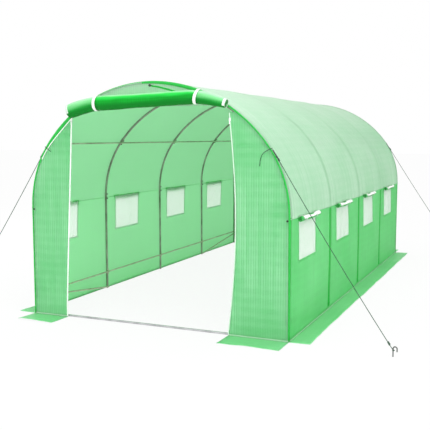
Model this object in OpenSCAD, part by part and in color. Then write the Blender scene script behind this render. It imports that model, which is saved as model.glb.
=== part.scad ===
// Walk-in polytunnel: steel hoops under a sewn sheet cover, door rolled up at the front.
// Origin at the middle of the footprint on the ground. +X right, +Y to the rear, +Z up.

/* [Overall] */
// Outer width over the two side walls
width = 2360; // [1800:10:3000]
// Distance from one hoop to the next
bay = 1180; // [900:10:1500]
// Height of the ridge over the ground
ridge_h = 2000; // [1800:10:2200]
// Height of the straight side walls
eave_h = 955; // [800:5:1050]
// Angle at which the haunch bend meets the crown bend
arch_split = 38; // [32:1:44]

/* [Frame] */
// Diameter of the hoop tube
hoop_d = 20; // [16:1:32]
// Diameter of the lengthwise tubes
purlin_d = 14; // [10:1:20]
// Height of the base rails over the ground
rail_h = 175; // [150:5:400]
// Diameter of the bars on the ground under the two ends
sill_d = 18; // [14:1:24]
// Length of the sleeve at each hoop joint
sleeve_len = 70; // [40:5:90]
// Wall of the sleeve outside the hoop tube
sleeve_t = 1.5; // [1:0.5:2]
// Clearance between tubes that cross or lie on each other
tube_fit = 0.2; // [0.1:0.1:0.5]

/* [Cover] */
// Thickness of the sheet of roof and walls
cover_t = 4; // [3:0.5:6]
// Thickness of the end panels
panel_t = 4; // [3:0.5:6]
// Width of the doorway in both ends
door_w = 1480; // [1200:10:1700]
// Depth under the ridge of the strip of end panel left over the open door
header_drop = 200; // [120:10:300]
// Width of the ground flaps along the sides
side_skirt_w = 170; // [100:5:250]
// Width of the ground flaps at the ends
end_skirt_w = 250; // [150:5:320]
// Thickness of the ground flaps
skirt_t = 3; // [2:0.5:5]

/* [Openings] */
// Width of a window
window_w = 480; // [300:10:600]
// Height of a window
window_h = 330; // [200:10:400]
// Strip of wall left between window and eave
window_top = 25; // [20:1:40]
// Distance of a window in front of the middle of its bay
window_ahead = 140; // [0:10:180]
// Overlap of the insect net behind the window edge
net_lap = 12; // [8:1:16]
// Thickness of the insect net
net_t = 2; // [2:0.5:3]
// Diameter of a rolled-up window flap
flap_roll_d = 46; // [36:1:60]
// Length of a flap roll past the window on each side
flap_over = 25; // [10:5:60]

/* [Door] */
// Diameter of the rolled-up door
roll_d = 116; // [90:2:140]
// Depth of the roll axis under the ridge, between its ties
roll_drop = 158; // [100:2:240]
// Distance between the two ties of the roll
tie_span = 980; // [800:10:1100]
// Droop of the free roll ends, in degrees
roll_droop = 11; // [4:1:16]
// Width of a tie
tie_w = 28; // [20:1:40]
// Thickness of a tie
tie_t = 3; // [2:0.5:4]
// Width of a zip tape
zip_w = 16; // [12:1:36]
// Thickness of a zip tape
zip_t = 3; // [2:0.5:4]

/* [Guys] */
// Diameter of a guy rope
rope_d = 6; // [5:0.5:10]
// Angle from the top of the haunch bend down to the tie of a guy rope
guy_below = 4; // [1:1:12]
// Distance of a peg out from the side wall
peg_out = 790; // [600:10:1200]
// Distance of a peg past the end of the tunnel
peg_past = 50; // [0:5:150]
// Diameter of a peg
peg_d = 9; // [8:1:14]
// Height of a peg over the ground, up to its bend
peg_h = 60; // [50:5:120]
// Radius of the hook at the top of a peg
hook_r = 14; // [10:1:20]
// Length of the straight tail of the hook
hook_tail = 22; // [10:1:40]

/* [Hidden] */
$fn = 96;
bays = 4;
length = bays * bay;
half_w = width / 2;
half_l = length / 2;
arch_k = 1 / cos(arch_split) - tan(arch_split);
haunch_r = (ridge_h - eave_h - half_w * arch_k) / (1 - arch_k);
crown_r = haunch_r + (half_w - haunch_r) / cos(arch_split);
haunch_x = half_w - haunch_r;
crown_z = ridge_h - crown_r;
hoop_in = cover_t + tube_fit + sleeve_t + hoop_d / 2;
purlin_in = hoop_in + hoop_d / 2 + tube_fit + purlin_d / 2;
end_hoop_y = half_l - panel_t - tube_fit - sleeve_t - hoop_d / 2;
door_half = door_w / 2;
header_z = ridge_h - header_drop;
roll_z = ridge_h - roll_drop;
window_z = eave_h - window_top - window_h;
roll_y = -half_l - 2 * tie_t - roll_d / 2;
roll_end = (door_half - 2 * zip_w - tie_span / 2) / cos(roll_droop);
guy_angle = arch_split - guy_below;
rope_gap = rope_d / 2 + tube_fit;
peg_x = half_w + peg_out;
peg_y = half_l + peg_past;

// Front edge of a window, counted from the front bay
function window_y(i) = -half_l + (i + 0.5) * bay - window_ahead - window_w / 2;

// Round bar from one point to another
module bar(from, to, d) {
    run = to - from;
    size = norm(run);
    translate(from)
        rotate([0, acos(run[2] / size), atan2(run[1], run[0])])
            cylinder(d = d, h = size);
}

// Box given by its lower and upper corner
module box(low, high) {
    translate(low)
        cube(high - low);
}

// Mirror a right-hand piece to the left where side is -1
module on_side(side) {
    if (side < 0)
        mirror([1, 0, 0]) children();
    else
        children();
}

// Ring piece in the plane of a hoop, from angle a to angle b about a centre in x and z
module ring_piece(cx, cz, inner, outer, a, b, low_y, deep) {
    translate([cx, low_y + deep, cz])
        rotate([90, 0, 0])
            rotate([0, 0, a])
                rotate_extrude(angle = b - a, $fn = 360)
                    translate([inner, 0])
                        square([outer - inner, deep]);
}

// Bent tube in the plane of a hoop
module bend(cx, cz, r, d, a, b, y) {
    translate([cx, y, cz])
        rotate([90, 0, 0])
            rotate([0, 0, a])
                rotate_extrude(angle = b - a, $fn = 360)
                    translate([r, 0])
                        circle(d = d, $fn = 48);
}

// Sleeve round the joint at an angle on the haunch bend
module sleeve(angle, y) {
    r = haunch_r - hoop_in;
    translate([haunch_x + r * cos(angle), y, eave_h + r * sin(angle)])
        rotate([0, -angle, 0])
            cylinder(d = hoop_d + 2 * sleeve_t, h = sleeve_len, center = true);
}

// One hoop: two legs, two haunch bends and the crown bend, sleeved where they meet
module hoop(y) {
    color("#8a8f86")
    union() {
        for (side = [-1, 1])
            on_side(side) {
                translate([half_w - hoop_in, y, 0])
                    cylinder(d = hoop_d, h = eave_h);
                bend(haunch_x, eave_h, haunch_r - hoop_in, hoop_d, 0, arch_split, y);
                sleeve(0, y);
                sleeve(arch_split, y);
            }
        bend(0, crown_z, crown_r - hoop_in, hoop_d, arch_split, 180 - arch_split, y);
    }
}

module front_hoop() {
    hoop(-end_hoop_y);
}

module second_hoop() {
    hoop(-half_l + bay);
}

module middle_hoop() {
    hoop(-half_l + 2 * bay);
}

module fourth_hoop() {
    hoop(-half_l + 3 * bay);
}

module rear_hoop() {
    hoop(end_hoop_y);
}

// Lengthwise tube on the inner side of the hoops
module long_tube(x, z) {
    color("#9a9f98")
        translate([x, -half_l + panel_t + tube_fit, z])
            rotate([-90, 0, 0])
                cylinder(d = purlin_d, h = length - 2 * panel_t - 2 * tube_fit);
}

module ridge_purlin() {
    long_tube(0, ridge_h - purlin_in);
}

module haunch_purlin(side) {
    r = haunch_r - purlin_in - sleeve_t;
    long_tube(side * (haunch_x + r * cos(arch_split)), eave_h + r * sin(arch_split));
}

module left_haunch_purlin() {
    haunch_purlin(-1);
}

module right_haunch_purlin() {
    haunch_purlin(1);
}

module left_base_rail() {
    long_tube(-half_w + purlin_in, rail_h);
}

module right_base_rail() {
    long_tube(half_w - purlin_in, rail_h);
}

// Slanting braces from the foot of the inner hoops up to the end hoops, below the rail
module braces(side) {
    color("#9a9f98")
    for (end = [-1, 1])
        bar([side * (half_w - purlin_in), end * (half_l - bay), purlin_d],
            [side * (half_w - purlin_in), end * end_hoop_y, rail_h - 1.5 * purlin_d], purlin_d);
}

module left_braces() {
    braces(-1);
}

module right_braces() {
    braces(1);
}

// Bar on the ground between the two legs of an end hoop
module sill_bar(y) {
    reach = half_w - hoop_in - hoop_d / 2 - tube_fit;
    color("#b4b8b4")
        bar([-reach, y, sill_d / 2], [reach, y, sill_d / 2], sill_d);
}

module front_sill_bar() {
    sill_bar(-end_hoop_y);
}

module rear_sill_bar() {
    sill_bar(end_hoop_y);
}

// Roof sheet over one haunch
module roof_haunch(side) {
    color("#c2e7c8")
        on_side(side)
            ring_piece(haunch_x, eave_h, haunch_r - cover_t, haunch_r, 0, arch_split, -half_l, length);
}

module left_roof_haunch() {
    roof_haunch(-1);
}

module right_roof_haunch() {
    roof_haunch(1);
}

// Roof sheet from one haunch to the ridge
module roof_crown(side) {
    color("#c2e7c8")
        on_side(side)
            ring_piece(0, crown_z, crown_r - cover_t, crown_r, arch_split, 90, -half_l, length);
}

module left_roof_crown() {
    roof_crown(-1);
}

module right_roof_crown() {
    roof_crown(1);
}

// Straight side wall with one window in each bay
module wall(side) {
    color("#70d686")
        on_side(side)
            difference() {
                box([half_w - cover_t, -half_l, 0], [half_w, half_l, eave_h]);
                for (i = [0 : bays - 1])
                    translate([half_w - 2 * cover_t, window_y(i), window_z])
                        cube([3 * cover_t, window_w, window_h]);
            }
}

module left_wall() {
    wall(-1);
}

module right_wall() {
    wall(1);
}

// Full flat end of the tunnel inside the cover, from which the end panels are cut
module end_sheet(low_y) {
    box([cover_t - half_w, low_y, 0], [half_w - cover_t, low_y + panel_t, eave_h]);
    for (side = [-1, 1])
        on_side(side)
            ring_piece(haunch_x, eave_h, 0, haunch_r - cover_t, 0, arch_split, low_y, panel_t);
    ring_piece(0, crown_z, 0, crown_r - cover_t, arch_split, 180 - arch_split, low_y, panel_t);
}

// End panel beside a doorway
module side_panel(side, low_y) {
    color("#89d99c")
        intersection() {
            end_sheet(low_y);
            on_side(side)
                box([door_half, low_y - 1, 0], [half_w, low_y + panel_t + 1, ridge_h]);
        }
}

module front_left_panel() {
    side_panel(-1, -half_l);
}

module front_right_panel() {
    side_panel(1, -half_l);
}

module rear_left_panel() {
    side_panel(-1, half_l - panel_t);
}

module rear_right_panel() {
    side_panel(1, half_l - panel_t);
}

// Strip of the front end left over the open door
module front_header() {
    color("#a5deae")
        intersection() {
            end_sheet(-half_l);
            box([-door_half, -half_l - 1, header_z], [door_half, -half_l + panel_t + 1, ridge_h]);
        }
}

// Rear door, zipped shut
module rear_door() {
    color("#89d99c")
        intersection() {
            end_sheet(half_l - panel_t);
            box([-door_half, half_l - panel_t - 1, 0], [door_half, half_l + 1, ridge_h]);
        }
}

// Front door rolled up under the arch; the ends past the ties droop
module door_roll() {
    color("#1fa03a")
        for (side = [-1, 1])
            on_side(side) {
                bar([0, roll_y, roll_z], [tie_span / 2, roll_y, roll_z], roll_d);
                translate([tie_span / 2, roll_y, roll_z])
                    rotate([0, 90, 0])
                        sphere(d = roll_d);
                translate([tie_span / 2, roll_y, roll_z])
                    rotate([0, 90 + roll_droop, 0])
                        cylinder(d = roll_d, h = roll_end);
            }
}

// Webbing ties: a band round the roll and a tab up the header to the hoop
module door_ties() {
    tie_x = tie_span / 2 - 2 * tie_w;
    top_z = crown_z + sqrt(pow(crown_r - cover_t, 2) - pow(tie_span / 2, 2));
    color("#f4f6f4")
        for (side = [-1, 1])
            on_side(side)
                union() {
                    translate([tie_x, roll_y, roll_z])
                        rotate([0, 90, 0])
                            difference() {
                                cylinder(d = roll_d + 2 * tie_t, h = tie_w);
                                translate([0, 0, -1])
                                    cylinder(d = roll_d, h = tie_w + 2);
                            }
                    box([tie_x, -half_l - 2 * tie_t, roll_z], [tie_x + tie_w, -half_l, top_z]);
                }
}

// Zip tapes down both edges of a doorway
module zips(y) {
    top_z = crown_z + sqrt(pow(crown_r - cover_t, 2) - pow(door_half + zip_w, 2));
    color("#f4f6f4")
        for (side = [-1, 1])
            on_side(side)
                box([door_half, y, skirt_t + 1], [door_half + zip_w, y + zip_t, top_z - roll_d / 4]);
}

module front_zips() {
    zips(-half_l - zip_t);
}

module rear_zips() {
    zips(half_l);
}

// Insect nets behind the windows of one wall
module window_nets(side) {
    color("#eef4ee")
        on_side(side)
            for (i = [0 : bays - 1])
                translate([half_w - cover_t - net_t, window_y(i) - net_lap, window_z - net_lap])
                    cube([net_t, window_w + 2 * net_lap, window_h + 2 * net_lap]);
}

module left_window_nets() {
    window_nets(-1);
}

module right_window_nets() {
    window_nets(1);
}

// Window flaps rolled up and tied over the windows of one wall
module window_rolls(side) {
    color("#4fc968")
        on_side(side)
            for (i = [0 : bays - 1])
                translate([half_w + flap_roll_d / 2 + tube_fit, window_y(i) - flap_over, eave_h - window_top])
                    rotate([-90, 0, 0])
                        cylinder(d = flap_roll_d, h = window_w + 2 * flap_over);
}

module left_window_rolls() {
    window_rolls(-1);
}

module right_window_rolls() {
    window_rolls(1);
}

// Ground flap along one side wall
module side_skirt(side) {
    color("#74d886")
        on_side(side)
            box([half_w, -half_l, 0], [half_w + side_skirt_w, half_l, skirt_t]);
}

module left_skirt() {
    side_skirt(-1);
}

module right_skirt() {
    side_skirt(1);
}

// Ground flap of a front panel
module front_skirt(side) {
    color("#82d890")
        on_side(side)
            box([door_half, -half_l - end_skirt_w, 0], [half_w, -half_l, skirt_t]);
}

module front_left_skirt() {
    front_skirt(-1);
}

module front_right_skirt() {
    front_skirt(1);
}

module rear_skirt() {
    color("#82d890")
        box([-half_w, half_l, 0], [half_w, half_l + end_skirt_w, skirt_t]);
}

// Taut guy rope from the haunch of an end hoop down to its peg
module guy(side, end) {
    tie_r = haunch_r + rope_gap;
    tie = [side * (haunch_x + tie_r * cos(guy_angle)), end * end_hoop_y, eave_h + tie_r * sin(guy_angle)];
    foot = [side * peg_x, end * peg_y, peg_h * 0.6];
    run = foot - tie;
    aim = foot - run / norm(run) * (peg_d / 2 + rope_gap);
    color("#4c6a50")
    union() {
        bar(tie, aim, rope_d);
        translate(tie)
            sphere(d = rope_d);
    }
}

module front_left_guy() {
    guy(-1, -1);
}

module front_right_guy() {
    guy(1, -1);
}

module rear_left_guy() {
    guy(-1, 1);
}

module rear_right_guy() {
    guy(1, 1);
}

// Top of one peg over the ground: a rod bent to a hook that opens away from the tunnel
module peg(y) {
    translate([peg_x, y, 0])
        cylinder(d = peg_d, h = peg_h);
    bend(peg_x + hook_r, peg_h, hook_r, peg_d, 0, 180, y);
    translate([peg_x + 2 * hook_r, y, peg_h - hook_tail])
        cylinder(d = peg_d, h = hook_tail);
}

module guy_pegs() {
    color("#8a8f8c")
        for (side = [-1, 1])
            for (end = [-1, 1])
                on_side(side)
                    peg(end * peg_y);
}

front_hoop();
second_hoop();
middle_hoop();
fourth_hoop();
rear_hoop();
ridge_purlin();
left_haunch_purlin();
right_haunch_purlin();
left_base_rail();
right_base_rail();
left_braces();
right_braces();
front_sill_bar();
rear_sill_bar();
left_roof_haunch();
left_roof_crown();
right_roof_crown();
right_roof_haunch();
left_wall();
right_wall();
front_left_panel();
front_right_panel();
front_header();
rear_left_panel();
rear_right_panel();
rear_door();
door_roll();
door_ties();
front_zips();
rear_zips();
left_window_nets();
right_window_nets();
left_window_rolls();
right_window_rolls();
left_skirt();
right_skirt();
front_left_skirt();
front_right_skirt();
rear_skirt();
front_left_guy();
front_right_guy();
rear_left_guy();
rear_right_guy();
guy_pegs();
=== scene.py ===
import math

import bmesh
import bpy
import numpy as np
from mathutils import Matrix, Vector, noise


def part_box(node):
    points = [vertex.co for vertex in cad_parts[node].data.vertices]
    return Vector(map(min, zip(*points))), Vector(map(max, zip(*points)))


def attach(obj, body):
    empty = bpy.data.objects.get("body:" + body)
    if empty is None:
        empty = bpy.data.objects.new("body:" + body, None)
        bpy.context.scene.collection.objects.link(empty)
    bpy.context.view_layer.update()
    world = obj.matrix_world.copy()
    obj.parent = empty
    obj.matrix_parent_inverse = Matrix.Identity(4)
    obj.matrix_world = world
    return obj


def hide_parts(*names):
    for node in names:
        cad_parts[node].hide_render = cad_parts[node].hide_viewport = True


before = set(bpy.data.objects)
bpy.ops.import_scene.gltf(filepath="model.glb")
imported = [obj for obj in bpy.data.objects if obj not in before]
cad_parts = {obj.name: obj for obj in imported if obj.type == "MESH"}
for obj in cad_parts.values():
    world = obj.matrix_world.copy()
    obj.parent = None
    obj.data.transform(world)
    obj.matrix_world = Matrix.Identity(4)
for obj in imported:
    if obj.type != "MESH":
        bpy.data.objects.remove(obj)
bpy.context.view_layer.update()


# The steel frame: hoops, ridge and haunch tubes, base rails, braces and sill bars.
# Thin galvanised tube, cold bent, pushed into sleeves and bolted. It stays as the CAD
# made it and gets a zinc finish with faint spangle, dull streaks and scuffs.
HOOPS = ["front_hoop", "second_hoop", "middle_hoop", "fourth_hoop", "rear_hoop"]
LONG_TUBES = ["ridge_purlin", "left_haunch_purlin", "right_haunch_purlin",
              "left_base_rail", "right_base_rail"]
BRACES = ["left_braces", "right_braces"]
SILL_BARS = ["front_sill_bar", "rear_sill_bar"]


def paint(red, green, blue):
    """Colour as read off a colour card, 0 to 255, turned into light values."""
    steps = np.array([red, green, blue]) / 255
    light = np.where(steps < 0.04045, steps / 12.92, ((steps + 0.055) / 1.055) ** 2.4)
    return (*[float(v) for v in light], 1.0)


def blank_material(name):
    """New material with no nodes, and its node tree."""
    material = bpy.data.materials.new(name)
    material.use_nodes = True
    material.node_tree.nodes.clear()
    return material, material.node_tree


def feed(tree, socket, value):
    """Link a socket to another one, or set it to a fixed value."""
    if isinstance(value, bpy.types.NodeSocket):
        tree.links.new(value, socket)
    else:
        socket.default_value = value


def add(tree, kind, settings=None, **inputs):
    """New shader node; settings are its options, inputs its sockets by name."""
    made = tree.nodes.new("ShaderNode" + kind)
    for key, value in (settings or {}).items():
        setattr(made, key, value)
    for key, value in inputs.items():
        feed(tree, made.inputs[key.replace("_", " ")], value)
    return made


def blend_colours(tree, share, first, second):
    """Mix of two colours; each may be a fixed colour or a socket."""
    made = add(tree, "Mix", {"data_type": "RGBA"})
    for number, value in ((0, share), (6, first), (7, second)):
        feed(tree, made.inputs[number], value)
    return made.outputs[2]


def set_range(tree, value, low, high, to_low=0.0, to_high=1.0):
    """Value moved from one range to another and held within it."""
    made = add(tree, "MapRange", Value=value, From_Min=low, From_Max=high,
               To_Min=to_low, To_Max=to_high)
    return made.outputs["Result"]


def mottle(tree, place, scale, detail, rough=0.5):
    """Uneven values, 0 to 1, all over a surface."""
    made = add(tree, "TexNoise", Vector=place, Scale=scale, Detail=detail, Roughness=rough)
    return made.outputs["Fac"]


def raised(tree, height, strength, distance):
    """Surface direction changed by fine relief."""
    return add(tree, "Bump", Strength=strength, Distance=distance, Height=height).outputs["Normal"]


def show(tree, surface):
    """Make this the look of the material."""
    tree.links.new(surface, add(tree, "OutputMaterial").inputs["Surface"])


def zinc(name, pale, dull, rough):
    """Galvanised steel in two tones; rough is its least roughness."""
    pale, dull = paint(*pale), paint(*dull)
    material, tree = blank_material(name)
    place = add(tree, "TexCoord").outputs["Object"]
    spangle = add(tree, "TexVoronoi", Vector=place, Scale=70.0).outputs["Color"]
    flakes = add(tree, "SeparateColor", Color=spangle).outputs["Red"]
    streaks = mottle(tree, place, 9.0, 5.0)
    metal = blend_colours(tree, set_range(tree, streaks, 0.35, 0.7), pale, dull)
    metal = blend_colours(tree, set_range(tree, flakes, 0.0, 1.0, 0.0, 0.3), metal, pale)
    steel = add(tree, "BsdfPrincipled", Base_Color=metal, Metallic=0.75,
                Roughness=set_range(tree, streaks, 0.3, 0.75, rough, rough + 0.2),
                Normal=raised(tree, mottle(tree, place, 400.0, 2.0), 0.15, 0.001))
    show(tree, steel.outputs["BSDF"])
    return material


def refinish(node, material):
    """Give a CAD node its finish."""
    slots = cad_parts[node].data.materials
    slots.clear()
    slots.append(material)


hoop_zinc = zinc("hoop_zinc", (164, 168, 156), (116, 122, 108), 0.38)
tube_zinc = zinc("tube_zinc", (206, 204, 186), (166, 166, 146), 0.36)
bar_zinc = zinc("bar_zinc", (202, 202, 204), (160, 161, 163), 0.36)
for nodes, finish in ((HOOPS, hoop_zinc), (LONG_TUBES + BRACES, tube_zinc), (SILL_BARS, bar_zinc)):
    for node in nodes:
        refinish(node, finish)


# The line that hoops and cover follow, read from the CAD: upright to the eave, a tight
# haunch bend, then the flatter crown bend. Every sheet below is laid out along it.
half_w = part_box("right_wall")[1].x
half_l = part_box("right_wall")[1].y
eave_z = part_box("right_wall")[1].z
ridge_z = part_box("right_roof_crown")[1].z
haunch_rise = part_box("right_roof_haunch")[1].z - eave_z
haunch_run = half_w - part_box("right_roof_crown")[1].x
haunch_r = (haunch_rise ** 2 + haunch_run ** 2) / (2 * haunch_run)
split_angle = math.atan2(haunch_rise, haunch_r - haunch_run)
haunch_x = half_w - haunch_r
crown_r = (half_w - haunch_run) / math.cos(split_angle)
crown_z = ridge_z - crown_r
haunch_len = haunch_r * split_angle
arch_len = 2 * (haunch_len + crown_r * (math.pi / 2 - split_angle))
bay = half_l / 2


def centre_of(node):
    """Middle of a CAD node's box."""
    low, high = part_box(node)
    return (low + high) / 2


hoop_places = [centre_of(hoop).y for hoop in HOOPS]


def arch_line(run, inset=0.0):
    """Place and outward direction in x and z, so far along the arch from the left eave."""
    run = np.asarray(run, float)
    side = np.where(run < arch_len / 2, -1.0, 1.0)
    climb = np.minimum(run, arch_len - run)
    low = climb < haunch_len
    angle = np.where(low, climb / haunch_r, split_angle + (climb - haunch_len) / crown_r)
    radius = np.where(low, haunch_r, crown_r) - inset
    x = side * (np.where(low, haunch_x, 0.0) + radius * np.cos(angle))
    z = np.where(low, eave_z, crown_z) + radius * np.sin(angle)
    return x, z, side * np.cos(angle), np.sin(angle)


def hoop_line(run, inset=0.0):
    """The whole hoop line: the arch, with the straight legs below its eaves."""
    x, z, out_x, out_z = arch_line(np.clip(run, 0, arch_len), inset)
    drop = np.minimum(run, 0) + np.minimum(arch_len - run, 0)
    return x, z + drop, out_x, out_z


def arch_half_width(z, inset=0.0):
    """Half the width of the tunnel at a height."""
    z = np.asarray(z, float)
    split_z = eave_z + (haunch_r - inset) * math.sin(split_angle)
    low = haunch_x + np.sqrt(np.maximum((haunch_r - inset) ** 2 - (z - eave_z) ** 2, 0))
    high = np.sqrt(np.maximum((crown_r - inset) ** 2 - (z - crown_z) ** 2, 0))
    return np.where(z < eave_z, half_w - inset, np.where(z < split_z, low, high))


# Bolts at the hoop sleeves and saddle clips where the long tubes cross the hoops: zinc
# plated pressings. A bolt goes through each end of a sleeve with its nut on the inside;
# a clip is a bent strip whose two feet are screwed to the hoop.
NUT_R = 0.0065
NUT_TALL = 0.006
WASHER_R = 0.009
WASHER_THICK = 0.0014
BOLT_R = 0.003
BOLT_OFF = 0.022
WASHER = [(WASHER_R, 0), (WASHER_R, WASHER_THICK)]
NUT = [(NUT_R, 0), (NUT_R, NUT_TALL * 0.8), (NUT_R * 0.84, NUT_TALL)]
BOLT_END = [(BOLT_R, 0.005), (BOLT_R, 0.011), (BOLT_R - 0.001, 0.012)]
CLIP_WIDE = 0.018
CLIP_THICK = 0.0016
CLIP_REACH = 0.030
CLIP_BEND = 0.012
CLIP_CLEAR = 0.0002
SCREW_OFF = 0.022
SCREW = [(0.0045, 0), (0.0042, 0.0018), (0.0028, 0.0028), (0.0006, 0.003)]
BEDDED = 0.0006
SLEEVE_R = 0.0115
PURLIN_R = 0.007
ACROSS, ALONG, UP = (1, 0, 0), (0, 1, 0), (0, 0, 1)


def set_up(name, mesh, materials, nodes):
    """Piece for a finished mesh, riding on the frame. nodes are the CAD nodes that it stands for."""
    for material in materials:
        mesh.materials.append(material)
    piece = bpy.data.objects.new(name, mesh)
    bpy.context.scene.collection.objects.link(piece)
    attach(piece, "root")
    if nodes:
        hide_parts(*nodes)
    return piece


def piece_from(name, shape, materials, nodes=(), smooth=False):
    """Piece made from a finished bmesh."""
    bmesh.ops.recalc_face_normals(shape, faces=shape.faces)
    mesh = bpy.data.meshes.new(name)
    shape.to_mesh(mesh)
    shape.free()
    mesh.polygons.foreach_set("use_smooth", [smooth] * len(mesh.polygons))
    return set_up(name, mesh, materials, nodes)


def turned(shape, place, axis, profile, sides):
    """Turned or many-sided solid: profile gives radius and height along the axis."""
    axis = Vector(axis).normalized()
    across = axis.orthogonal().normalized()
    up = axis.cross(across)
    angles = [2 * math.pi * k / sides for k in range(sides)]
    rings = []
    for radius, height in profile:
        middle = Vector(place) + axis * height
        rings.append([shape.verts.new(middle + radius * (across * math.cos(a) + up * math.sin(a)))
                      for a in angles])
    for low, high in zip(rings, rings[1:]):
        for k in range(sides):
            shape.faces.new((low[k], low[k - 1], high[k - 1], high[k]))
    shape.faces.new(rings[0])
    shape.faces.new(rings[-1][::-1])


def ribbon(shape, line, wide_way, wide, thick, slot=0):
    """Flat strip along a line of points; wide_way is the direction across it."""
    line = np.asarray(line, float)
    ways = np.gradient(line, axis=0)
    wide_way = np.broadcast_to(np.asarray(wide_way, float), line.shape)
    corners = [(-0.5, -0.5), (0.5, -0.5), (0.5, 0.5), (-0.5, 0.5)]
    rows = []
    for point, way, across in zip(line, ways, wide_way):
        out = np.cross(way, across)
        out /= max(np.linalg.norm(out), 1e-9)
        rows.append([shape.verts.new(point + a * wide * across + b * thick * out) for a, b in corners])
    made = [shape.faces.new(rows[0][::-1]), shape.faces.new(rows[-1])]
    for low, high in zip(rows, rows[1:]):
        made += [shape.faces.new((low[k - 1], low[k], high[k], high[k - 1])) for k in range(4)]
    for face in made:
        face.material_index = slot


def arc_points(mid_a, mid_b, reach, first, last, count):
    """Points on a round about a middle, from one angle to another in degrees."""
    angles = np.radians(np.linspace(first, last, count))
    return [(mid_a + reach * math.cos(a), mid_b + reach * math.sin(a)) for a in angles]


bolts = bmesh.new()
hoop_in = half_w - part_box("middle_hoop")[1].x + SLEEVE_R
for y in hoop_places:
    for joint in (0.0, arch_len, haunch_len, arch_len - haunch_len):
        for shift in (-BOLT_OFF, BOLT_OFF):
            x, z, out_x, out_z = (float(v) for v in hoop_line(joint + shift, hoop_in))
            inward = Vector((-out_x, 0, -out_z))
            foot = Vector((x, y, z)) + inward * (SLEEVE_R - BEDDED)
            turned(bolts, foot, inward, WASHER, 20)
            turned(bolts, foot + inward * WASHER_THICK, inward, NUT, 6)
            turned(bolts, foot, inward, BOLT_END, 10)
bolt_zinc = zinc("bolt_zinc", (150, 152, 146), (92, 96, 90), 0.42)
piece_from("hoop_bolts", bolts, [bolt_zinc])

clips = bmesh.new()
for tube_name in LONG_TUBES:
    centre = centre_of(tube_name)
    if "rail" in tube_name:
        outward = Vector((math.copysign(1, centre.x), 0, 0))
    elif "ridge" in tube_name:
        outward = Vector((0, 0, 1))
    else:
        outward = Vector((math.copysign(math.cos(split_angle), centre.x), 0, math.sin(split_angle)))
    along = Vector((-outward.z, 0, outward.x))
    bow = PURLIN_R + CLIP_THICK / 2 + CLIP_CLEAR
    seat = PURLIN_R - BEDDED
    foot = [(CLIP_REACH, seat), (SCREW_OFF, seat), (CLIP_BEND, seat), (bow, seat * 0.6)]
    path = foot + arc_points(0, 0, bow, 0, -180, 13) + [(-a, b) for a, b in foot[::-1]]
    for y in hoop_places:
        middle = Vector((centre.x, y, centre.z))
        ribbon(clips, [middle + along * a + outward * b for a, b in path], ALONG, CLIP_WIDE, CLIP_THICK)
        for shift in (-SCREW_OFF, SCREW_OFF):
            head = middle + along * shift + outward * (seat - CLIP_THICK / 2)
            turned(clips, head, -outward, SCREW, 14)
piece_from("tube_clips", clips, [tube_zinc])


# The roof sheet: one width of green woven film drawn over the hoops from eave to eave.
# The weave is a coarse grid of flat threads between two films. It is carried by the
# hoops and dips a little between them. Its outer face is painted nearly white for the sheen
# and sky light on it, paler still where it faces up, and the hoop lines show on it as painted shade.
SHEET_THICK = 0.0014
ROOF_DIP = 0.004
ROOF_HOLD = 0.35
BELOW_LINE = 0.0004
EAVE_EDGE = 0.06
EAVE_OVER = 0.0016
EAVE_LAP = 0.016
HOOP_SHADE_WIDE = (0.002, 0.06)
PALE_GREEN = (160, 240, 174), (148, 234, 163), (168, 242, 181)


def cloth_noise(points, scale, seed):
    """Smooth uneven values, about -1 to 1, at each point."""
    stretch = np.asarray(scale, float)
    away = Vector((seed, seed * 0.7, seed * 1.3))
    values = [noise.noise(Vector(p * stretch) + away) for p in points.reshape(-1, 3)]
    return np.array(values).reshape(points.shape[:-1])


def thin_sheet(name, grid, cloth_uv, materials, nodes=(), keep=None, thick=SHEET_THICK):
    """Closed thin sheet over a grid of points, which are its outer face. The first material
    is for outside, the second for inside. keep says which cells stay. Each cell gets a face
    on both sides, and a rim on each edge that has no neighbour."""
    rows, cols = grid.shape[:2]
    normal = np.cross(np.gradient(grid, axis=0), np.gradient(grid, axis=1))
    normal /= np.maximum(np.linalg.norm(normal, axis=2, keepdims=True), 1e-9)
    points = np.concatenate([grid.reshape(-1, 3), (grid - thick * normal).reshape(-1, 3)])
    count = rows * cols
    keep = np.ones((rows - 1, cols - 1), bool) if keep is None else keep
    faces, sides = [], []
    for i, j in zip(*np.nonzero(keep)):
        a, b = i * cols + j, (i + 1) * cols + j
        c, d = b + 1, a + 1
        faces += [(a, b, c, d), (d + count, c + count, b + count, a + count)]
        sides += [0, 1]
        for down, over, p, q in ((-1, 0, d, a), (1, 0, b, c), (0, -1, a, b), (0, 1, c, d)):
            k, m = i + down, j + over
            if not (0 <= k < rows - 1 and 0 <= m < cols - 1 and keep[k, m]):
                faces.append((q, p, p + count, q + count))
                sides.append(0)
    used, faces = np.unique(np.array(faces), return_inverse=True)
    faces = faces.reshape(-1, 4)
    mesh = bpy.data.meshes.new(name)
    mesh.from_pydata(points[used].tolist(), [], faces.tolist())
    flat = cloth_uv.reshape(-1, 2)[used[faces.ravel()] % count]
    mesh.uv_layers.new(name="cloth").data.foreach_set("uv", flat.astype(np.float32).ravel())
    mesh.polygons.foreach_set("material_index", sides)
    mesh.polygons.foreach_set("use_smooth", [True] * len(sides))
    shape = bmesh.new()
    shape.from_mesh(mesh)
    bmesh.ops.dissolve_degenerate(shape, dist=1e-6, edges=shape.edges)
    shape.to_mesh(mesh)
    shape.free()
    return set_up(name, mesh, materials, nodes)


def work_out(tree, operation, *values):
    """Sum on fixed numbers or sockets."""
    made = add(tree, "Math", {"operation": operation})
    for socket, value in zip(made.inputs, values):
        feed(tree, socket, value)
    return made.outputs[0]


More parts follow.
